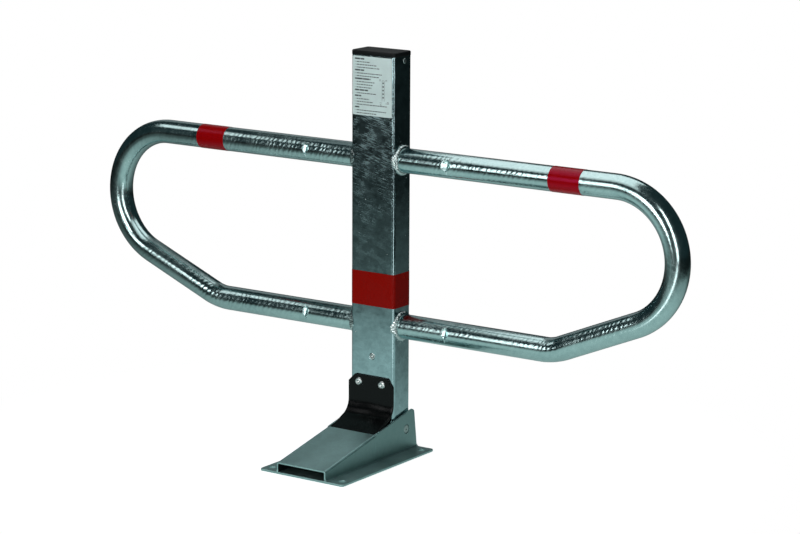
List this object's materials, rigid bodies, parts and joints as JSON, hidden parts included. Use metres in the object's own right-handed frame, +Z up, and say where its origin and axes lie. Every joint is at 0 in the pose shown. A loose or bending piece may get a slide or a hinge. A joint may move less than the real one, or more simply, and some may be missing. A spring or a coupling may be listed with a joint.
{
  "type": "folding parking lock",
  "caption": "Folding parking barrier: a galvanised steel post with a tubular hoop on each side, hinged in a ramped floor shoe, with a rubber hinge flap and a key-operated bolt.",
  "frame": {"origin": "centre of the base plate's underside, which is also the centre of its four anchor holes", "axes": "+Z up; +X along the hoops, to the right of a person facing the ramp; the ramp points to -Y and the post folds towards +Y"},
  "size_m": [1.1944, 0.27, 0.695],
  "materials": {
    "galvanised_base": "hot-dip galvanised sheet, satin grey",
    "galvanised_steel": "hot-dip galvanised hollow section, mottled",
    "galvanised_tube": "hot-dip galvanised tube, bright with flow marks",
    "weld_metal": "galvanised weld bead, bright and uneven",
    "zinc_plated_steel": "zinc plated, satin",
    "stainless_steel": "stainless, bright",
    "spring_steel": "oiled spring wire",
    "brass_core": "turned brass",
    "black_plastic": "moulded, fine texture",
    "black_rubber": "smooth sheet rubber, matte",
    "red_tape": "reflective tape, glossy",
    "label_film": null
  },
  "bodies": {
    "base": {"base_plate": "galvanised_base", "ramp_shoe": "galvanised_base", "shoe_welds": "galvanised_base", "stop_bar": "galvanised_base", "catch_plate": "galvanised_base", "pivot_axle": "zinc_plated_steel"},
    "post": {"pivot_bushes": "black_plastic", "pivot_sleeve": "galvanised_steel", "post_tube": "galvanised_steel", "end_cap": "black_plastic", "cap_rivets": "stainless_steel", "hoop_left": "galvanised_tube", "hoop_right": "galvanised_tube", "hoop_welds_left": "weld_metal", "hoop_welds_right": "weld_metal", "post_band": "red_tape", "hoop_band_left": "red_tape", "hoop_band_right": "red_tape", "info_label": "label_film", "hinge_flap": "black_rubber", "flap_screws": "stainless_steel", "rivet_nuts": "zinc_plated_steel", "bolt_guide": "galvanised_steel", "lock_case": "zinc_plated_steel", "lock_screw": "zinc_plated_steel", "lock_escutcheon": "stainless_steel", "escutcheon_rivets": "stainless_steel", "bolt_spring": "spring_steel"},
    "core": {"lock_core": "brass_core"},
    "bolt": {"lock_bolt": "stainless_steel"}
  },
  "joints": [
    {"name": "fold", "type": "hinge", "parent": "base", "child": "post", "pos_m": [0, 0.1025, 0.041], "axis": [-1, 0, 0], "range_deg": [0, 90], "deforming": ["hinge_flap"]},
    {"name": "lock_turn", "type": "hinge", "parent": "post", "child": "core", "pos_m": [0, 0.115, 0.15], "axis": [0, 1, 0], "range_deg": [0, 90]},
    {"name": "bolt_slide", "type": "slide", "parent": "post", "child": "bolt", "axis": [0, 0, -1], "range_m": [0, 0.011], "deforming": ["bolt_spring"]}
  ],
  "couplings": [
    {"joint": "lock_turn", "follows": "bolt_slide", "rad_per_m": 142.7}
  ]
}
